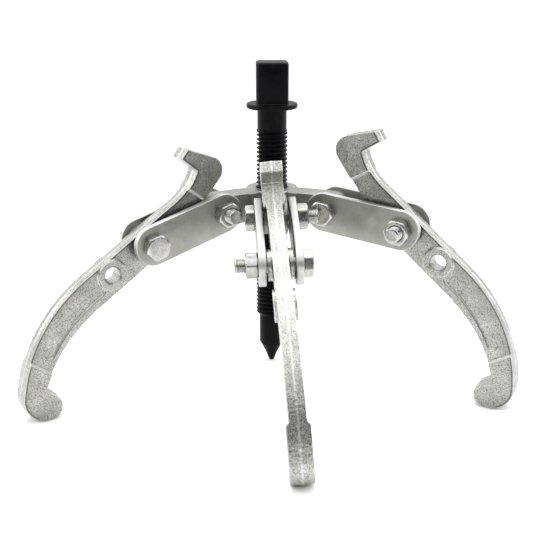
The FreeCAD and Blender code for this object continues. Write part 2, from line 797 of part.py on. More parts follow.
def hook_reach(tilt, lean):
    """How far below its hinge a jaw's lower hook reaches, at a tilt and a lean."""
    low = jaw_points()["back_centre"]
    turn = math.radians(tilt - SIZES["jaw_slope"])
    reach = SIZES["hook_back_radius"] - (low.x * math.sin(turn) + low.y * math.cos(turn))
    aside = math.radians(lean)
    return reach * math.cos(aside) + SIZES["hook_thickness"] / 2 * math.sin(aside)


def leaning(azimuth, radius, height, lean):
    """A lean to one side about the arm's outward axis, through a hinge."""
    outward = arm_frame(azimuth).multVec(Vector(1, 0, 0))
    hinge = outward * radius + Vector(0, 0, height)
    return Placement(Vector(), Rotation(outward, lean), hinge)


def make_arm(arm, azimuth):
    """Two link plates, a jaw and two bolts with their nuts, on one lug."""
    s = SIZES
    link_lean, jaw_lean = s[arm + "_link_lean"], s[arm + "_jaw_lean"]
    reach = hook_reach(s[arm + "_jaw_tilt"], link_lean + jaw_lean)
    fall = (s["pivot_height"] - reach) / math.cos(math.radians(link_lean))
    link_tilt = -math.degrees(math.asin(fall / s["link_length"]))
    hinge_radius = s["pivot_circle"] + s["link_length"] * math.cos(math.radians(link_tilt))
    hinge_height = s["pivot_height"] - fall
    plate_middle = half_plates + s["plate_thickness"] / 2
    plate_face = half_plates + s["plate_thickness"]

    inner = (azimuth, s["pivot_circle"], s["pivot_height"])
    outer = (azimuth, hinge_radius, hinge_height)
    links_lean = leaning(*inner, link_lean)
    jaw_leans = links_lean * leaning(*outer, jaw_lean)

    def on_links(hinge, along_pin, flipped=False):
        return links_lean * arm_place(*hinge, link_tilt, along_pin, flipped)

    make_link_plate(arm + "_link_plate_a", on_links(inner, -plate_middle))
    make_link_plate(arm + "_link_plate_b", on_links(inner, plate_middle))
    make_bolt(arm + "_inner_bolt", on_links(inner, plate_face, flipped=True))
    make_nut(arm + "_inner_nut", on_links(inner, -plate_face, flipped=True))
    make_bolt(arm + "_outer_bolt", on_links(outer, -plate_face))
    make_nut(arm + "_outer_nut", on_links(outer, plate_face))
    make_jaw(arm + "_jaw", jaw_leans * arm_place(*outer, s[arm + "_jaw_tilt"] - s["jaw_slope"]))
    print(
        "%s arm: link tilt %.2f deg, jaw hinge at radius %.2f, height %.2f"
        % (arm, link_tilt, hinge_radius, hinge_height)
    )


# ---------------------------------------------------------------- build, check and write


def export_nodes():
    doc.recompute()
    for item in doc.Objects:
        if "Invalid" in item.State or "Error" in item.State:
            raise RuntimeError("%s failed: %s" % (item.Name, item.State))
    os.makedirs("parts", exist_ok=True)
    for node in nodes:
        shape = node.Shape
        if shape.isNull() or not shape.isValid() or len(shape.Solids) != 1:
            raise RuntimeError("%s is not one valid solid" % node.Label)
        shape.exportStep("parts/%s.step" % node.Label)
        print("%-22s %9.1f mm3" % (node.Label, shape.Volume))


make_crosshead()
make_forcing_screw()
make_centre_point()
for arm_name, arm_azimuth in ARMS.items():
    make_arm(arm_name, arm_azimuth)
export_nodes()
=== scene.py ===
import json
import math

import bmesh
import bpy
import numpy as np
from mathutils import Matrix, Vector, noise
from mathutils.kdtree import KDTree


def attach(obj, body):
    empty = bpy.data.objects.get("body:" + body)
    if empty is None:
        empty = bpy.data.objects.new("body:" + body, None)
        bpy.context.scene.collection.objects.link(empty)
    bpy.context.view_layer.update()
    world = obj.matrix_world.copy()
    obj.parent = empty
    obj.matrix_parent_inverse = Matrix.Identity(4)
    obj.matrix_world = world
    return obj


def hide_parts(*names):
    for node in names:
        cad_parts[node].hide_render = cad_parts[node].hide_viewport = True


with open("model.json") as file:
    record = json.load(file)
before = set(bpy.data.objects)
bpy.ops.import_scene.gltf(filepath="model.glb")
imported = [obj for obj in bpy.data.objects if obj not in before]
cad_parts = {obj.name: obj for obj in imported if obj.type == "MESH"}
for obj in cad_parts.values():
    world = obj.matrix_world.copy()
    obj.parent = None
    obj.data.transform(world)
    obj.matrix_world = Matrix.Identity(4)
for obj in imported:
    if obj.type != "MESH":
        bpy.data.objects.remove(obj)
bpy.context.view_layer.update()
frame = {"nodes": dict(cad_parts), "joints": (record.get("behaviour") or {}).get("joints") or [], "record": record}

# The looks of a three-jaw gear puller, in metres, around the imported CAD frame. Forged and cast pieces are
# the CAD shapes remeshed, rounded and given a grain. Turned, threaded and pressed pieces are made here
# from the sizes below, and put in place by the hinge points and axes that the frame states.

MM = 0.001
ARMS = ("front", "right", "left")
TAU = 2 * math.pi

# ---------------------------------------------------------------- sizes, in metres

PLATE_INNER_FACE = 7.45 * MM
PLATE_THICKNESS = 4.0 * MM
PLATE_RADIUS = 11.0 * MM
PLATE_HOLE_RADIUS = 4.1 * MM
PLATE_HOLE_CHAMFER = 0.25 * MM
# Width of the plate's brighter rim band: partly wear, partly a painted highlight.
PLATE_HIGHLIGHT_RIM = 0.7 * MM
PLATE_FACE = PLATE_INNER_FACE + PLATE_THICKNESS

BOLT_RADIUS = 4.0 * MM
BOLT_LENGTH = 35.0 * MM
BOLT_PITCH = 1.25 * MM
BOLT_THREAD_START = 19.0 * MM
HEX_APOTHEM = 6.5 * MM
HEX_CORNER_CUT = 0.25 * MM
HEX_EDGE = 0.18 * MM
HEX_CHAMFER_SLOPE = math.tan(math.radians(28))
HEAD_HEIGHT = 5.3 * MM
HEAD_FACE_RADIUS = 0.93 * HEX_APOTHEM
NUT_HEIGHT = 6.5 * MM
NUT_FACE_RADIUS = 0.94 * HEX_APOTHEM
NUT_BORE_RADIUS = 4.05 * MM
FASTENER_SIDES = 72

SCREW_RADIUS = 9.0 * MM
SCREW_PITCH = 2.5 * MM
SCREW_THREAD = (30.0 * MM, 141.5 * MM)
NOSE_RADIUS = 7.3 * MM
NOSE_BOTTOM = 11.9 * MM
NECK_RADIUS = 8.4 * MM
COLLAR_RADIUS = 14.6 * MM
COLLAR = (154.0 * MM, 157.0 * MM)
DRIVE_APOTHEM = 9.2 * MM
DRIVE_CORNER_CUT = 1.2 * MM
SCREW_TOP = 180.0 * MM
STEM_BORE_RADIUS = 3.05 * MM
STEM_BORE_TOP = 26.6 * MM

POINT_TIP_RADIUS = 1.4 * MM
POINT_BASE_RADIUS = 6.6 * MM
POINT_HEIGHT = 11.6 * MM
STEM_RADIUS = 3.0 * MM
STEM_TOP = 25.6 * MM

CROSSHEAD_VOXEL = 0.5 * MM
SCREW_BORE_RADIUS = 9.05 * MM
HINGE_BORE_RADIUS = 4.4 * MM

JAW_VOXEL = 0.38 * MM
JAW_BOSS_RADIUS = 8.3 * MM
SPARE_HOLE = 26.5 * MM
SPARE_BOSS_FACE = 5.7 * MM
HOLE_CHAMFER = 0.8 * MM
UPPER_HOOK_START = 8.0 * MM
RIDGE_HEIGHT = 0.14 * MM
RIDGE_WIDTH = 0.5 * MM
EDGE_DRAFT = 0.05
LIP_WIDTH = 0.85 * MM
LIP_GROOVE_WIDTH = 0.4 * MM
LIP_GROOVE_DEPTH = 0.32 * MM
LIP_DISH_DEPTH = 0.35 * MM
LIP_DISH_REACH = 5.0 * MM

# How gradually a prism's corner turns, as a part of its corner cut.
CORNER_SOFTNESS = 0.6

# Grain sizes and depths: broad unevenness first, then the sandy surface.
JAW_GRAIN = [(7 * MM, 0.10 * MM), (2.2 * MM, 0.06 * MM), (1.0 * MM, 0.05 * MM)]
CROSSHEAD_GRAIN = [(6 * MM, 0.10 * MM), (2.0 * MM, 0.05 * MM)]

# A thread's depth is a part of its pitch. Its flank goes from the root to the crest, as parts of half a
# pitch from the middle of the groove, and the rounding is how far the ends of the flank are eased.
THREAD_DEPTH = 0.58
THREAD_ROOT = 0.20
THREAD_CREST = 0.86
THREAD_ROUNDING = 0.35

# ---------------------------------------------------------------- places, from the frame

joints = {joint["name"]: joint for joint in frame["joints"]}
mounts = {mount["name"]: mount for mount in frame["record"]["mounts"]}


def axes_at(origin, along, pin):
    """The axes of a hinge: x near a given direction, z along the pin."""
    z = pin.normalized()
    x = (along - along.dot(z) * z).normalized()
    y = z.cross(x)
    rotation = Matrix((x, y, z)).transposed().to_4x4()
    return Matrix.Translation(origin) @ rotation


def hinge(name):
    """The place and the pin direction of a joint."""
    joint = joints[name]
    return Vector(joint["pos_m"]), Vector(joint["axis"])


def link_frame(arm):
    """x from the inner hinge to the outer one, z along the inner pin."""
    inner, pin = hinge(arm + "_link_swing")
    outer, _ = hinge(arm + "_jaw_swing")
    return axes_at(inner, outer - inner, pin)


def jaw_frame(arm):
    """x from the jaw's hinge to its spare hole, z along its pin."""
    outer, pin = hinge(arm + "_jaw_swing")
    spare = Vector(mounts[arm + "_spare_hole"]["pos_m"])
    return axes_at(outer, spare - outer, pin)


# ---------------------------------------------------------------- mesh helpers


def clamped(values):
    return np.clip(values, 0.0, 1.0)


def new_object(name, data):
    """An object with the given mesh, lamp or camera, in the scene."""
    obj = bpy.data.objects.new(name, data)
    bpy.context.scene.collection.objects.link(obj)
    return obj


def smooth_shading(mesh, degrees):
    """Smooth faces, with edges sharper than the angle left sharp."""
    mesh.polygons.foreach_set("use_smooth", [True] * len(mesh.polygons))
    mesh.set_sharp_from_angle(angle=math.radians(degrees))
    mesh.update()


def grid_mesh(name, rows, closed):
    """A tube through rings of points. Closed joins the last ring to the first. Otherwise both end rings
    are filled with a fan."""
    sides = len(rows[0])
    points = [tuple(point) for row in rows for point in row]
    count = len(rows)
    faces = []
    for k in range(count if closed else count - 1):
        here, there = k * sides, (k + 1) % count * sides
        for i in range(sides):
            j = (i + 1) % sides
            faces.append((here + i, here + j, there + j, there + i))
    if not closed:
        for k, turn in ((0, -1), (count - 1, 1)):
            centre = np.mean(rows[k], axis=0)
            points.append(tuple(centre))
            middle = len(points) - 1
            for i in range(sides):
                pair = (k * sides + i, k * sides + (i + 1) % sides)
                faces.append((middle,) + pair[::turn])
    mesh = bpy.data.meshes.new(name)
    mesh.from_pydata(points, [], faces)
    mesh.validate()
    mesh.update()
    return mesh


def ring(radius, height, sides):
    """Points round the z axis: radius is a number, or one for each angle."""
    angles = np.arange(sides) * TAU / sides
    radii = np.broadcast_to(radius, angles.shape)
    heights = np.broadcast_to(height, angles.shape)
    return np.stack([radii * np.cos(angles), radii * np.sin(angles), heights], axis=1)


def prism_radius(flats, apothem, corner_cut, sides):
    """The radius at each angle of a prism whose corner lies on the x axis, its corners rounded off."""
    angles = np.arange(sides) * TAU / sides
    sector = TAU / flats
    sharp = apothem / np.cos(np.mod(angles, sector) - sector / 2)
    limit = apothem / math.cos(sector / 2) - corner_cut
    softness = CORNER_SOFTNESS * corner_cut
    # A soft minimum of the sharp prism and a circle, raised so that the flats keep their apothem.
    rounded = -softness * np.log(np.exp(-sharp / softness) + np.exp(-limit / softness))
    raised = softness * np.log(1 + np.exp(-(limit - apothem) / softness))
    return rounded + raised


def thread_rows(radius, pitch, start, end, sides, fade, steps=14):
    """Rings along a right-hand thread with rounded crests, faded in and out over a length."""
    depth = THREAD_DEPTH * pitch
    turns = np.arange(sides) / sides
    rows = []
    count = int(round((end - start) / pitch * steps))
    for height in np.linspace(start, end, count + 1):
        phase = np.mod(height / pitch - turns, 1.0)
        from_middle = np.abs(phase - 0.5) * 2
        flank = clamped((THREAD_CREST - from_middle) / (THREAD_CREST - THREAD_ROOT))
        eased = flank * flank * (3 - 2 * flank)
        groove = THREAD_ROUNDING * eased + (1 - THREAD_ROUNDING) * flank
        fading = max(0.0, min(1.0, (height - start) / fade, (end - height) / fade))
        rows.append(ring(radius - depth * groove * fading, height, sides))
    return rows


def remeshed(name, node, to_local, voxel, smoothing):
    """The CAD node's shape as an even mesh with softened edges, in a local frame."""
    mesh = frame["nodes"][node].data.copy()
    mesh.transform(to_local)
    obj = new_object(name, mesh)
    remesh = obj.modifiers.new("remesh", "REMESH")
    remesh.mode = "VOXEL"
    remesh.voxel_size = voxel
    soften = obj.modifiers.new("soften", "SMOOTH")
    soften.factor = 0.5
    soften.iterations = smoothing
    graph = bpy.context.evaluated_depsgraph_get()
    result = bpy.data.meshes.new_from_object(obj.evaluated_get(graph))
    bpy.data.objects.remove(obj)
    result.name = name
    result.materials.clear()
    return result


def mesh_arrays(mesh):
    """The points of a mesh and the normals at them."""
    points = np.zeros(len(mesh.vertices) * 3)
    normals = np.zeros(len(mesh.vertices) * 3)
    mesh.vertices.foreach_get("co", points)
    mesh.vertices.foreach_get("normal", normals)
    return points.reshape(-1, 3), normals.reshape(-1, 3)


def store(mesh, name, values):
    """Keep a number for each point of a mesh, which its material reads."""
    mesh.attributes.new(name, "FLOAT", "POINT").data.foreach_set("value", values)


def grain(points, sizes_and_depths):
    """Smooth random unevenness: a sum of layers, each of a grain size and a depth."""
    total = np.zeros(len(points))
    for layer, (size, depth) in enumerate(sizes_and_depths):
        shift = Vector((layer * 7.3, layer * 3.1, layer * 5.7))
        total += [depth * noise.noise(Vector(point) / size + shift) for point in points]
    return total


def distance_to(points, targets):
    """How far each point is from the nearest of some others."""
    tree = KDTree(len(targets))
    for index, target in enumerate(targets):
        tree.insert(target, index)
    tree.balance()
    return np.array([tree.find(point)[2] for point in points])


def keep_bore(points, centre, axis, radius):
    """Move points that have crept into a round bore back to its wall. Radius is a number, or one for
    each point."""
    offset = points - centre
    along = offset @ axis
    radial = offset - np.outer(along, axis)
    distance = np.linalg.norm(radial, axis=1)
    inside = distance < radius
    scale = np.where(inside, radius / np.maximum(distance, 1e-9), 1.0)
    return centre + np.outer(along, axis) + radial * scale[:, None]


# ---------------------------------------------------------------- materials


def shader(name):
    """A new material, its node tree and its surface node."""
    material = bpy.data.materials.new(name)
    material.use_nodes = True
    tree = material.node_tree
    return material, tree, tree.nodes["Principled BSDF"]


def node(tree, kind, **settings):
    """A new shader node with some of its settings."""
    item = tree.nodes.new("ShaderNode" + kind)
    for key, value in settings.items():
        setattr(item, key, value)
    return item


def noise_layer(tree, place, size, detail=2.0, roughness=0.5):
    """A noise whose blotches are about a given size across."""
    item = node(tree, "TexNoise")
    item.inputs["Scale"].default_value = 1.0 / size
    item.inputs["Detail"].default_value = detail
    item.inputs["Roughness"].default_value = roughness
    tree.links.new(place, item.inputs["Vector"])
    return item.outputs["Fac"]


def ramp(tree, source, low, high, first, last):
    """Map a value range to another one, held at its ends."""
    item = node(tree, "MapRange")
    item.inputs["From Min"].default_value = low
    item.inputs["From Max"].default_value = high
    item.inputs["To Min"].default_value = first
    item.inputs["To Max"].default_value = last
    tree.links.new(source, item.inputs["Value"])
    return item.outputs["Result"]


def blend_colours(tree, factor, first, last):
    """From the first colour to the last as the factor goes from 0 to 1. A colour is fixed or a socket."""
    item = node(tree, "MixRGB")
    for socket, colour in ((1, first), (2, last)):
        if isinstance(colour, tuple):
            item.inputs[socket].default_value = (*colour, 1.0)
        else:
            tree.links.new(colour, item.inputs[socket])
    tree.links.new(factor, item.inputs[0])
    return item.outputs[0]


def bump(tree, height, depth, under=None):
    """A relief of a given depth, on top of another one if there is one."""
    item = node(tree, "Bump")
    item.inputs["Strength"].default_value = 1.0
    item.inputs["Distance"].default_value = depth
    tree.links.new(height, item.inputs["Height"])
    if under:
        tree.links.new(under, item.inputs["Normal"])
    return item.outputs["Normal"]


def cast_metal(name, light, dark, rough_range, pit_depth):
    """Plated rough metal: matt grain, cloudy patches, painted shade in its creases and brighter edges that are
    partly wear and partly a painted highlight. It also paints the highlight and shade stored on the mesh.
    """
    sand_shadow = (0.13, 0.13, 0.12)
    # Pale edge colour: partly wear, partly a painted highlight.
    worn_edge_highlight = (0.76, 0.76, 0.75)
    # Pale colour for the stored mask: partly wear, partly a painted highlight.
    worn_highlight_metal = (0.70, 0.70, 0.69)
    # Painted shade colour for creases.
    crease_shade = (0.05, 0.05, 0.05)
    # Dark colour for painted shade in the groove and dish, and for streaks.
    streak_and_shade_colour = (0.07, 0.07, 0.065)
    material, tree, surface = shader(name)
    place = node(tree, "TexCoord").outputs["Object"]
    clouds = noise_layer(tree, place, 9 * MM, detail=4.0)
    sand = noise_layer(tree, place, 0.55 * MM, detail=3.0, roughness=0.65)
    pits = noise_layer(tree, place, 1.6 * MM, detail=2.0)
    tone = blend_colours(tree, ramp(tree, clouds, 0.35, 0.65, 0.0, 1.0), dark, light)
    speckle = blend_colours(tree, ramp(tree, sand, 0.37, 0.55, 0.95, 0.0), tone, sand_shadow)
    edges = node(tree, "NewGeometry").outputs["Pointiness"]
    # Sharp edges turn pale: partly wear, partly a painted highlight.
    worn_and_highlit = blend_colours(tree, ramp(tree, edges, 0.52, 0.57, 0.0, 0.8), speckle, worn_edge_highlight)
    # The stored mask brightens bands, rims and bevels: partly wear, partly a painted highlight.
    wear_and_highlight = node(tree, "Attribute", attribute_name="wear_and_highlight").outputs["Fac"]
    bright = blend_colours(tree, wear_and_highlight, worn_and_highlit, worn_highlight_metal)
    # Hollow creases are darkened: painted shade.
    crease_shaded = blend_colours(tree, ramp(tree, edges, 0.40, 0.46, 0.8, 0.0), bright, crease_shade)
    # The stored mask darkens: painted shade in the groove and dish, streaks, and darker towards the upper hook.
    streaks_and_painted_shade = node(tree, "Attribute", attribute_name="streaks_and_painted_shade").outputs["Fac"]
    streaked_and_shaded = blend_colours(tree, streaks_and_painted_shade, crease_shaded, streak_and_shade_colour)
    tree.links.new(streaked_and_shaded, surface.inputs["Base Color"])
    surface.inputs["Metallic"].default_value = 1.0
    tree.links.new(ramp(tree, sand, 0.3, 0.7, *rough_range), surface.inputs["Roughness"])
    coarse = bump(tree, pits, pit_depth)
    tree.links.new(bump(tree, sand, pit_depth * 0.6, coarse), surface.inputs["Normal"])
    return material


def sheet_metal(name, light, dark):
    """Satin plated strip: faint stains, fine speckle, small dents and brighter rims that are partly wear and
    partly a painted highlight.
    """
    speck = (0.12, 0.12, 0.11)
    # Pale rim colour: partly wear, partly a painted highlight.
    rim = (0.56, 0.56, 0.545)
    material, tree, surface = shader(name)
    place = node(tree, "TexCoord").outputs["Object"]
    stains = noise_layer(tree, place, 14 * MM, detail=5.0, roughness=0.6)
    sand = noise_layer(tree, place, 0.35 * MM, detail=2.0)
    dents = noise_layer(tree, place, 5 * MM, detail=2.0)
    tone = blend_colours(tree, ramp(tree, stains, 0.38, 0.64, 0.0, 1.0), dark, light)
    speckle = blend_colours(tree, ramp(tree, sand, 0.34, 0.52, 0.25, 0.0), tone, speck)
    wear_and_highlight = node(tree, "Attribute", attribute_name="wear_and_highlight").outputs["Fac"]
    # Brighter towards the outline: partly wear, partly a painted highlight.
    rim_highlit = blend_colours(tree, wear_and_highlight, speckle, rim)
    tree.links.new(rim_highlit, surface.inputs["Base Color"])
    surface.inputs["Metallic"].default_value = 1.0
    tree.links.new(ramp(tree, stains, 0.3, 0.7, 0.34, 0.46), surface.inputs["Roughness"])
    coarse = bump(tree, dents, 0.03 * MM)
    tree.links.new(bump(tree, sand, 0.012 * MM, coarse), surface.inputs["Normal"])
    return material


def bright_zinc(name):
    """Bright zinc plate with a faint bluish and yellowish tint in patches, and painted shade in its creases."""
    bluish = (0.42, 0.43, 0.45)
    yellowish = (0.54, 0.53, 0.48)
    # Painted shade colour for creases.
    crease_shade = (0.04, 0.04, 0.04)
    material, tree, surface = shader(name)
    place = node(tree, "TexCoord").outputs["Object"]
    patches = noise_layer(tree, place, 3 * MM, detail=3.0)
    sand = noise_layer(tree, place, 0.4 * MM, detail=2.0)
    tone = blend_colours(tree, ramp(tree, patches, 0.35, 0.65, 0.0, 1.0), bluish, yellowish)
    edges = node(tree, "NewGeometry").outputs["Pointiness"]
    # Hollow creases are darkened: painted shade.
    crease_shaded = blend_colours(tree, ramp(tree, edges, 0.36, 0.47, 0.9, 0.0), tone, crease_shade)
    tree.links.new(crease_shaded, surface.inputs["Base Color"])
    surface.inputs["Metallic"].default_value = 1.0
    tree.links.new(ramp(tree, patches, 0.3, 0.7, 0.20, 0.32), surface.inputs["Roughness"])
    tree.links.new(bump(tree, sand, 0.015 * MM), surface.inputs["Normal"])
    return material


def black_oxide(name):
    """Oiled black oxide on steel, greyer on its edges and crests, partly from wear and partly as a painted
    highlight.
    """
    deep_black = (0.002, 0.002, 0.0025)
    soft_black = (0.005, 0.005, 0.006)
    # Edge colour: partly wear, partly a painted highlight.
    grey_edge_highlight = (0.04, 0.04, 0.04)
    material, tree, surface = shader(name)
    place = node(tree, "TexCoord").outputs["Object"]
    patches = noise_layer(tree, place, 6 * MM, detail=4.0)
    sand = noise_layer(tree, place, 0.5 * MM, detail=3.0)
    edges = node(tree, "NewGeometry").outputs["Pointiness"]
    tone = blend_colours(tree, ramp(tree, patches, 0.35, 0.65, 0.0, 1.0), deep_black, soft_black)
    # Sharp edges and crests turn greyer: partly wear, partly a painted highlight.
    wear_and_highlight = blend_colours(tree, ramp(tree, edges, 0.54, 0.62, 0.0, 0.35), tone, grey_edge_highlight)
    tree.links.new(wear_and_highlight, surface.inputs["Base Color"])
    surface.inputs["Specular IOR Level"].default_value = 0.07
    tree.links.new(ramp(tree, patches, 0.3, 0.7, 0.30, 0.42), surface.inputs["Roughness"])
    tree.links.new(bump(tree, sand, 0.02 * MM), surface.inputs["Normal"])
    return material


materials = {
    "forged_jaws": cast_metal(
        "forged_jaws",
        light=(0.56, 0.56, 0.535),
        dark=(0.44, 0.44, 0.415),
        rough_range=(0.28, 0.42),
        pit_depth=0.12 * MM,
    ),
    "cast_crosshead": cast_metal(
        "cast_crosshead",
        light=(0.42, 0.42, 0.40),
        dark=(0.32, 0.32, 0.30),
        rough_range=(0.40, 0.54),
        pit_depth=0.14 * MM,
    ),
    "link_steel": sheet_metal("link_steel", light=(0.40, 0.40, 0.37), dark=(0.30, 0.30, 0.28)),
    "plated_fasteners": bright_zinc("plated_fasteners"),
    "blackened_steel": black_oxide("blackened_steel"),
}


def finish_piece(name, mesh, place, body, cad_node, slot, sharp):
    """Put a finished mesh in its place, give it its material, tie it to its CAD body and hide the CAD node that it
    stands for. Edges sharper than an angle in degrees stay sharp. A mesh made in place needs no place."""
    if place:
        mesh.transform(place)
    smooth_shading(mesh, sharp)
    mesh.materials.append(materials[slot])
    piece = new_object(name, mesh)
    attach(piece, body)
    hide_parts(cad_node)


# ---------------------------------------------------------------- screw and centre point


def make_screw():
    """Square head, collar, neck, right-hand thread and plain nose, as one turned piece, from the bore in
    its lower end upwards. Its edges are rounded in multiples of one size."""
    sides = 72
    edge = 0.5 * MM
    low, high = SCREW_THREAD
    lead_in = SCREW_RADIUS - NOSE_RADIUS
    collar_low, collar_high = COLLAR
    # The square is turned so that its flats face along x and y.
    square = np.roll(prism_radius(4, DRIVE_APOTHEM, DRIVE_CORNER_CUT, sides), sides // 8)
    rows = [
        ring(STEM_BORE_RADIUS, STEM_BORE_TOP, sides),
        ring(STEM_BORE_RADIUS, NOSE_BOTTOM + edge, sides),
        ring(STEM_BORE_RADIUS + edge, NOSE_BOTTOM, sides),
        ring(NOSE_RADIUS - edge, NOSE_BOTTOM, sides),
        ring(NOSE_RADIUS - 0.3 * edge, NOSE_BOTTOM + 0.3 * edge, sides),
        ring(NOSE_RADIUS, NOSE_BOTTOM + edge, sides),
        ring(NOSE_RADIUS, low - edge, sides),
        ring(NOSE_RADIUS, low, sides),
    ]
    rows += thread_rows(SCREW_RADIUS, SCREW_PITCH, low + lead_in, high, sides, fade=0.7 * SCREW_PITCH)
    rows += [
        ring(NECK_RADIUS, high + edge, sides),
        ring(NECK_RADIUS, collar_low - edge, sides),
        ring(NECK_RADIUS + edge, collar_low, sides),
        ring(COLLAR_RADIUS - 2 * edge, collar_low, sides),
        ring(COLLAR_RADIUS - 0.4 * edge, collar_low + 0.6 * edge, sides),
        ring(COLLAR_RADIUS, collar_low + 2 * edge, sides),
        ring(COLLAR_RADIUS, collar_high - 2 * edge, sides),
        ring(COLLAR_RADIUS - 0.4 * edge, collar_high - 0.6 * edge, sides),
        ring(COLLAR_RADIUS - 2 * edge, collar_high, sides),
        ring(square + edge, collar_high, sides),
        ring(square, collar_high + edge, sides),
        ring(square, SCREW_TOP - 2.4 * edge, sides),
        ring(square - 0.3 * edge, SCREW_TOP - 1.4 * edge, sides),
        ring(square - 1.6 * edge, SCREW_TOP - 0.3 * edge, sides),
        ring(square - 3.0 * edge, SCREW_TOP, sides),
        ring(square * 0.5, SCREW_TOP, sides),
    ]
    mesh = grid_mesh("forcing_screw_turned", rows, closed=False)
    finish_piece("forcing_screw_turned", mesh, None, "screw", "forcing_screw", "blackened_steel", sharp=40)


def make_centre_point():
    """A blunt cone with a stem that goes up into the screw."""
    sides = 64
    edge = 0.25 * MM
    mid_radius = (POINT_TIP_RADIUS + POINT_BASE_RADIUS) / 2 - edge
    rows = [
        ring(POINT_TIP_RADIUS - edge, 0.0, sides),
        ring(POINT_TIP_RADIUS + 0.2 * edge, 0.7 * edge, sides),
        ring(POINT_TIP_RADIUS + edge, 2 * edge, sides),
        ring(mid_radius, POINT_HEIGHT / 2, sides),
        ring(POINT_BASE_RADIUS - edge, POINT_HEIGHT - 3 * edge, sides),
        ring(POINT_BASE_RADIUS, POINT_HEIGHT - edge, sides),
        ring(POINT_BASE_RADIUS - edge, POINT_HEIGHT, sides),
        ring(STEM_RADIUS, POINT_HEIGHT, sides),
        ring(STEM_RADIUS, STEM_TOP - edge, sides),
        ring(STEM_RADIUS - edge, STEM_TOP, sides),
    ]
    mesh = grid_mesh("centre_point_turned", rows, closed=False)
    finish_piece("centre_point_turned", mesh, None, "point", "centre_point", "blackened_steel", sharp=40)


# ---------------------------------------------------------------- fasteners


def hexagon_and_fall(face_radius):
    """A hexagon's radii, and how far its chamfer falls at each of them from a round face."""
    hexagon = prism_radius(6, HEX_APOTHEM, HEX_CORNER_CUT, FASTENER_SIDES)
    return hexagon, np.maximum(hexagon - face_radius, 0) * HEX_CHAMFER_SLOPE


def make_bolt(name, place, body, cad_node):
    """A hexagon bolt with a chamfered head and a cut thread. Its head is below the origin."""
    sides = FASTENER_SIDES
    edge = HEX_EDGE
    face = HEAD_FACE_RADIUS
    hexagon, fall = hexagon_and_fall(face)
    top = -HEAD_HEIGHT
    thread_end = BOLT_LENGTH - 0.4 * MM
    rows = [
        ring(face * 0.45, top + 0.5 * edge, sides),
        ring(face * 0.9, top, sides),
        ring(face, top + 0.25 * edge, sides),
        ring((face + hexagon) / 2, top + fall / 2 + 0.4 * edge, sides),
        ring(hexagon - 1.2 * edge, top + fall, sides),
        ring(hexagon, top + fall + 1.2 * edge, sides),
        ring(hexagon, -2 * edge, sides),
        ring(hexagon - 1.5 * edge, -0.5 * edge, sides),
        ring(HEX_APOTHEM * 0.96, 0.0, sides),
        ring(BOLT_RADIUS, 0.0, sides),
        ring(BOLT_RADIUS, BOLT_THREAD_START - edge, sides),
    ]
    rows += thread_rows(
        BOLT_RADIUS, BOLT_PITCH, BOLT_THREAD_START, thread_end, sides, fade=BOLT_PITCH, steps=10
    )
    rows += [
        ring(BOLT_RADIUS - 0.55 * MM, BOLT_LENGTH - 0.1 * MM, sides),
        ring(BOLT_RADIUS - 0.9 * MM, BOLT_LENGTH, sides),
        ring(BOLT_RADIUS * 0.4, BOLT_LENGTH - 0.05 * MM, sides),
    ]
    mesh = grid_mesh(name, rows, closed=False)
    finish_piece(name, mesh, place, body, cad_node, "plated_fasteners", sharp=32)


def make_nut(name, place, body, cad_node):
    """A hexagon nut with chamfered corners and a countersunk bore, standing on the origin."""
    edge = HEX_EDGE
    face = NUT_FACE_RADIUS
    hexagon, fall = hexagon_and_fall(face)
    middle = NUT_HEIGHT / 2
    # From the bore outwards and down the flats, as heights above the middle.
    upper_half = [
        (NUT_BORE_RADIUS, middle - 0.6 * MM),
        (NUT_BORE_RADIUS + 0.5 * MM, middle),
        (face * 0.85, middle),
        (face, middle - 0.25 * edge),
        ((face + hexagon) / 2, middle - fall / 2 - 0.4 * edge),
        (hexagon - 1.2 * edge, middle - fall),
        (hexagon, middle - fall - 1.2 * edge),
    ]
    rows = [ring(radius, middle + height, FASTENER_SIDES) for radius, height in upper_half]
    rows += [ring(radius, middle - height, FASTENER_SIDES) for radius, height in reversed(upper_half)]
    mesh = grid_mesh(name, rows, closed=True)
    finish_piece(name, mesh, place, body, cad_node, "plated_fasteners", sharp=32)


# ---------------------------------------------------------------- link plates


def stadium(length, radius, inset, height, steps):
    """Points round a flat bar's outline, drawn in by an inset."""
    points = []
    for centre, start in ((length, -math.pi / 2), (0.0, math.pi / 2)):
        for angle in np.linspace(start, start + math.pi, steps):
            reach = radius - inset
            points.append((centre + reach * math.cos(angle), reach * math.sin(angle), height))
    return points


def hole_rim(centre, radius, height, steps):
    """Points round a hole on the bar's middle line."""
    angles = np.arange(steps) * TAU / steps
    return [(centre + radius * math.cos(a), radius * math.sin(a), height) for a in angles]


def joined_loops(bm, loops):
    """Fill the gaps between loops of equal length with quads. Returns the first and the last loop."""
    rings = [[bm.verts.new(point) for point in loop] for loop in loops]
    for first, second in zip(rings, rings[1:]):
        count = len(first)
        for i in range(count):
            j = (i + 1) % count
            bm.faces.new((first[i], first[j], second[j], second[i]))
    return rings[0], rings[-1]


def loop_edges(bm, loop):
    """The edges round a loop of vertices."""
    count = len(loop)
    return [bm.edges.get((loop[i], loop[(i + 1) % count])) for i in range(count)]


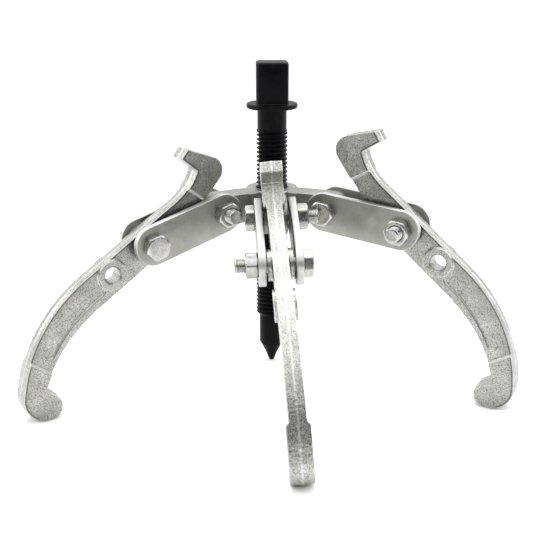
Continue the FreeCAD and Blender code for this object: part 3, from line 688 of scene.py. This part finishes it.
def make_plate(name, length, place, body, cad_node):
    """A punched strip plate with a rounded-over rim and two chamfered bolt holes."""
    half = PLATE_THICKNESS / 2
    # The rim's section from the upper face to the middle: how far in from the outline and how far down.
    rim = [
        (0.75 * MM, 0.0),
        (0.40 * MM, 0.05 * MM),
        (0.15 * MM, 0.20 * MM),
        (0.03 * MM, 0.45 * MM),
        (0.0, 0.80 * MM),
    ]
    section = [(inset, half - drop) for inset, drop in rim]
    section += [(inset, -height) for inset, height in reversed(section)]
    wall = [
        (PLATE_HOLE_RADIUS + PLATE_HOLE_CHAMFER, half),
        (PLATE_HOLE_RADIUS, half - PLATE_HOLE_CHAMFER),
    ]
    wall += [(radius, -height) for radius, height in reversed(wall)]

    bm = bmesh.new()
    outer = [stadium(length, PLATE_RADIUS, inset, height, steps=40) for inset, height in section]
    top, bottom = joined_loops(bm, outer)
    ends = {"top": [top], "bottom": [bottom]}
    for centre in (0.0, length):
        loops = [hole_rim(centre, radius, height, steps=48) for radius, height in wall]
        upper, lower = joined_loops(bm, loops)
        ends["top"].append(upper)
        ends["bottom"].append(lower)
    for loops in ends.values():
        edges = [edge for loop in loops for edge in loop_edges(bm, loop)]
        bmesh.ops.triangle_fill(bm, edges=edges, use_beauty=True)
    bmesh.ops.recalc_face_normals(bm, faces=bm.faces)
    mesh = bpy.data.meshes.new(name)
    bm.to_mesh(mesh)
    bm.free()

    points, _ = mesh_arrays(mesh)
    past_end = points[:, 0] - np.clip(points[:, 0], 0.0, length)
    from_rim = PLATE_RADIUS - np.hypot(past_end, points[:, 1])
    # Brighter towards the outline: partly wear, partly a painted highlight.
    store(mesh, "wear_and_highlight", clamped(1.0 - from_rim / PLATE_HIGHLIGHT_RIM))
    finish_piece(name, mesh, place, body, cad_node, "link_steel", sharp=25)


# ---------------------------------------------------------------- forged and cast pieces


def jaw_relief(points, normals):
    """For each point of the jaw: how far it rises, how much painted highlight (partly wear) it gets, how much
    painted shade and streaking it gets, and whether it is clear of the bores."""
    x, y, z = points.T
    # Flatness is 1 on the jaw's sides, which face along the pin, and 0 on its edges.
    flatness = np.abs(normals[:, 2])
    on_edge = clamped(1.4 - 2.5 * flatness)
    on_side = clamped(4.0 * flatness - 3.0)
    near_bore = np.minimum(np.hypot(x, y), np.hypot(x - SPARE_HOLE, y))
    solid = near_bore > HINGE_BORE_RADIUS + 1.0 * MM
    off_boss = clamped((near_bore - JAW_BOSS_RADIUS) / (0.5 * MM))

    # The outline is found near the middle plane, where there are no bosses, steps or channels. Its outer
    # edge is the one that faces x and y.
    outline = (np.abs(z) < 1.5 * MM) & (flatness < 0.3) & solid
    faces_out = normals[:, 0] + normals[:, 1] > 0.45
    flattened = points * (1.0, 1.0, 0.0)
    from_outer_edge = distance_to(flattened, flattened[outline & faces_out])
    from_any_edge = distance_to(flattened, flattened[outline])

    # The forging's edges fall away from the parting line, which stands up as a fine ridge.
    ridge = on_edge * np.exp(-((z / RIDGE_WIDTH) ** 2))
    rise = ridge * RIDGE_HEIGHT - on_edge * EDGE_DRAFT * np.abs(z)

    # The sides are dished beside a narrow lip that follows the outer edge, with a groove at its foot.
    groove = np.exp(-(((from_outer_edge - LIP_WIDTH) / LIP_GROOVE_WIDTH) ** 2)) * on_side * off_boss
    past_lip = clamped((from_outer_edge - LIP_WIDTH) / MM) * on_side * off_boss
    dish = past_lip * np.exp(-from_outer_edge / LIP_DISH_REACH)
    rise -= LIP_GROOVE_DEPTH * groove + LIP_DISH_DEPTH * dish
    rise += grain(points, JAW_GRAIN)

    # Brighter on the ridge of the outer edge and on the bevels of the steps and channels: partly wear, partly a
    # painted highlight.
    outer_band = on_edge * (from_outer_edge < 0.5 * MM)
    bevels = clamped(1.0 - np.abs(flatness - 0.65) / 0.3) * (from_any_edge > 1.0 * MM) * off_boss
    wear_and_highlight = np.maximum.reduce([0.05 * outer_band, 0.7 * ridge * outer_band, bevels])

    # Painted shade in the groove and the dish, dark streaks along the outer edge, and darker towards the upper
    # hook.
    streaks = clamped(3.0 * grain(points * (0.12, 1.0, 1.0), [(0.9 * MM, 1.0)])) * outer_band
    upper_hook = on_side * clamped(-(x + UPPER_HOOK_START) / UPPER_HOOK_START)
    streaks_and_painted_shade = clamped(groove + 0.35 * dish + 0.22 * streaks + 0.22 * upper_hook)
    return rise, wear_and_highlight, streaks_and_painted_shade, solid


def make_jaw_shape():
    """One jaw in its own frame: x along the shank from its hinge, y to its outer edge, z along the pin."""
    mesh = remeshed("jaw_forged", "front_jaw", jaw_frame("front").inverted(), JAW_VOXEL, smoothing=4)
    points, normals = mesh_arrays(mesh)
    rise, wear_and_highlight, streaks_and_painted_shade, solid = jaw_relief(points, normals)
    # Stored for the material: a painted highlight that is partly wear, and painted shade with streaks.
    store(mesh, "wear_and_highlight", wear_and_highlight)
    store(mesh, "streaks_and_painted_shade", streaks_and_painted_shade)
    points = points + normals * (rise * solid)[:, None]
    pin = np.array([0.0, 0.0, 1.0])
    points = keep_bore(points, np.zeros(3), pin, HINGE_BORE_RADIUS)
    countersink = np.clip(np.abs(points[:, 2]) - SPARE_BOSS_FACE + HOLE_CHAMFER, 0.0, HOLE_CHAMFER)
    spare_hole = np.array([SPARE_HOLE, 0.0, 0.0])
    points = keep_bore(points, spare_hole, pin, HINGE_BORE_RADIUS + countersink)
    mesh.vertices.foreach_set("co", points.ravel())
    mesh.update()
    return mesh


def make_crosshead():
    """The CAD crosshead with softened edges and a cast surface, its bores kept round."""
    mesh = remeshed("crosshead_cast", "crosshead", Matrix.Identity(4), CROSSHEAD_VOXEL, smoothing=6)
    points, normals = mesh_arrays(mesh)
    solid = np.hypot(points[:, 0], points[:, 1]) > SCREW_BORE_RADIUS + 0.8 * MM
    rise = grain(points, CROSSHEAD_GRAIN) * solid
    points = points + normals * rise[:, None]
    points = keep_bore(points, np.zeros(3), np.array([0.0, 0.0, 1.0]), SCREW_BORE_RADIUS)
    for arm in ARMS:
        centre, _ = hinge(arm + "_link_swing")
        outward = Vector((centre.x, centre.y, 0)).normalized()
        across = np.array([-outward.y, outward.x, 0.0])
        points = keep_bore(points, np.array(centre), across, HINGE_BORE_RADIUS)
    mesh.vertices.foreach_set("co", points.ravel())
    finish_piece("crosshead_cast", mesh, None, "crosshead", "crosshead", "cast_crosshead", sharp=180)


# ---------------------------------------------------------------- the arms

# How far each arm's outer nut is turned from having a corner towards the other hinge.
OUTER_NUT_SPIN = {"front": math.radians(30), "right": 0.0, "left": 0.0}


def lifted(place, height):
    """A place moved along its own z axis."""
    return place @ Matrix.Translation((0, 0, height))


def make_arm(arm, jaw_shape):
    """Two plates, two bolts with their nuts, and the jaw. The inner bolt's head is on the side that the
    pin points to, and the outer bolt's head is on the other side."""
    inner, _ = hinge(arm + "_link_swing")
    outer, _ = hinge(arm + "_jaw_swing")
    length = (outer - inner).length
    link = arm + "_link"
    at_inner = link_frame(arm)
    at_outer = at_inner @ Matrix.Translation((length, 0, 0))
    flip = Matrix.Rotation(math.pi, 4, "X")
    spin = Matrix.Rotation(OUTER_NUT_SPIN[arm], 4, "Z")
    middle = PLATE_INNER_FACE + PLATE_THICKNESS / 2
    for letter, height in (("a", -middle), ("b", middle)):
        node_name = arm + "_link_plate_" + letter
        make_plate(node_name + "_pressed", length, lifted(at_inner, height), link, node_name)
    make_bolt(arm + "_inner_bolt_cut", lifted(at_inner, PLATE_FACE) @ flip, link, arm + "_inner_bolt")
    make_nut(arm + "_inner_nut_cut", lifted(at_inner, -PLATE_FACE) @ flip, link, arm + "_inner_nut")
    make_bolt(arm + "_outer_bolt_cut", lifted(at_outer, -PLATE_FACE), link, arm + "_outer_bolt")
    make_nut(arm + "_outer_nut_cut", lifted(at_outer, PLATE_FACE) @ spin, link, arm + "_outer_nut")
    jaw = arm + "_jaw"
    finish_piece(jaw + "_forged", jaw_shape.copy(), jaw_frame(arm), jaw, jaw, "forged_jaws", sharp=180)


make_crosshead()
make_screw()
make_centre_point()
jaw_mesh = make_jaw_shape()
for arm_name in ARMS:
    make_arm(arm_name, jaw_mesh)

# ---------------------------------------------------------------- floor, light and camera

CEILING_LIGHT = 1.7
SIDE_LIGHT = 0.6
FRONT_LIGHT = 0.08
FRONT_SINK = -0.35
LAMP_POWER = 4
FLOOR_TONES = (0.92, 0.94)
FLOOR_GAP = 0.2 * MM


def make_floor():
    """A wide sheet of pale paper, just below the hooks."""
    mesh = bpy.data.meshes.new("floor")
    reach = 12.0
    corners = [(-reach, -reach, 0), (reach, -reach, 0), (reach, reach, 0), (-reach, reach, 0)]
    mesh.from_pydata(corners, [], [(0, 1, 2, 3)])
    material, tree, surface = shader("floor_paper")
    place = node(tree, "TexCoord").outputs["Object"]
    mottle = noise_layer(tree, place, size=0.4)
    first, last = [(shade, shade, shade) for shade in FLOOR_TONES]
    tone = blend_colours(tree, mottle, first, last)
    tree.links.new(tone, surface.inputs["Base Color"])
    surface.inputs["Roughness"].default_value = 0.9
    mesh.materials.append(material)
    floor = new_object("floor", mesh)
    floor.location.z = -FLOOR_GAP


def area_light(name, place, target, size, power):
    """A round lamp at a place, turned to a target."""
    data = bpy.data.lights.new(name, "AREA")
    data.shape = "DISK"
    data.size = size
    data.energy = power
    light = new_object(name, data)
    light.location = place
    light.rotation_euler = (Vector(target) - Vector(place)).to_track_quat("-Z", "Y").to_euler()


def make_light():
    """A bright ceiling over a dimmer horizon, darkest behind the camera, as in a small light tent. The
    camera itself sees white past the floor. Three lamps add to it."""
    white = (1.0, 1.0, 1.0)
    ceiling = (CEILING_LIGHT, CEILING_LIGHT, CEILING_LIGHT)
    world = bpy.data.worlds.new("studio")
    world.use_nodes = True
    tree = world.node_tree
    sky = tree.nodes["Background"]
    direction = node(tree, "TexCoord").outputs["Generated"]
    parts = node(tree, "SeparateXYZ")
    tree.links.new(direction, parts.inputs[0])
    horizon = ramp(tree, parts.outputs["Y"], -0.9, -0.3, FRONT_LIGHT, SIDE_LIGHT)
    sunk = node(tree, "Math", operation="ADD")
    tree.links.new(parts.outputs["Z"], sunk.inputs[0])
    tree.links.new(ramp(tree, parts.outputs["Y"], -0.9, -0.2, FRONT_SINK, 0.0), sunk.inputs[1])
    upward = ramp(tree, sunk.outputs[0], 0.1, 0.45, 0.0, 1.0)
    tent = blend_colours(tree, upward, horizon, ceiling)
    to_camera = node(tree, "LightPath").outputs["Is Camera Ray"]
    tree.links.new(blend_colours(tree, to_camera, tent, white), sky.inputs["Color"])
    bpy.context.scene.world = world
    middle = (0, 0, 0.08)
    area_light("overhead", (0.0, 0.2, 1.2), middle, 1.0, LAMP_POWER)
    area_light("left_key", (-1.1, 0.1, 0.6), middle, 0.6, LAMP_POWER)
    area_light("right_key", (1.1, 0.1, 0.6), middle, 0.6, LAMP_POWER)


def make_camera():
    """Slightly above the puller, a little to the left of the front arm."""
    distance = 0.5416
    height = 0.2350
    round_left = math.radians(2.84)
    heading = math.radians(2.51)
    pitch = math.radians(17.95)
    data = bpy.data.cameras.new("camera")
    data.sensor_width = 36.0
    data.lens = 64.4
    data.clip_end = 100.0
    camera = new_object("camera", data)
    camera.location = (-distance * math.sin(round_left), -distance * math.cos(round_left), height)
    camera.rotation_euler = (math.pi / 2 - pitch, 0, -heading)
    bpy.context.scene.camera = camera


make_floor()
make_light()
make_camera()
bpy.context.scene.view_settings.view_transform = "Standard"
